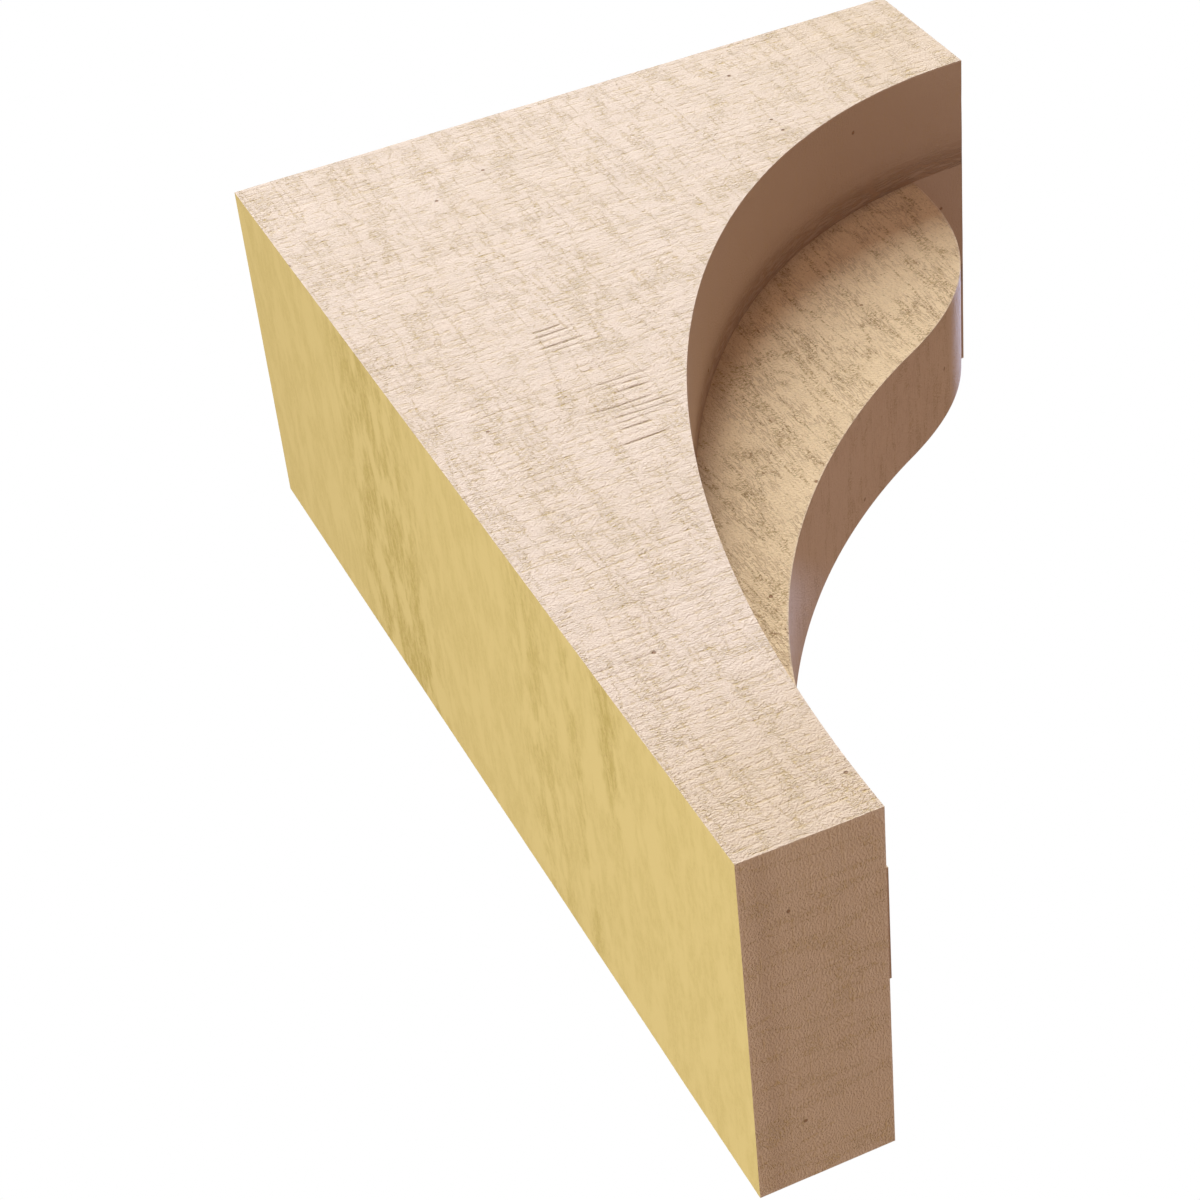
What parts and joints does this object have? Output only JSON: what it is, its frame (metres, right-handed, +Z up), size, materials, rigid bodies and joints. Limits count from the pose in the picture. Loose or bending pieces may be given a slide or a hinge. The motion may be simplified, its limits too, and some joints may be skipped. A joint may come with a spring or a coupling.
{
  "type": "corbel",
  "caption": "Deep wall corbel with a concave front, a square nose and a proud scrolled rib down its middle, in rough-sawn faux wood.",
  "frame": {"origin": "centre of the back, the flat face that goes against the wall", "axes": "+Y out of the back, into the wall; the nose points towards -Y; +Z up, with the deep end on top; X across the width"},
  "size_m": [0.1524, 0.3048, 0.4572],
  "materials": {
    "primed_urethane": "tan factory primer on rough-sawn moulded urethane, matt; the back is bare yellow foam"
  },
  "bodies": {
    "root": {"corbel": "primed_urethane"}
  },
  "joints": []
}
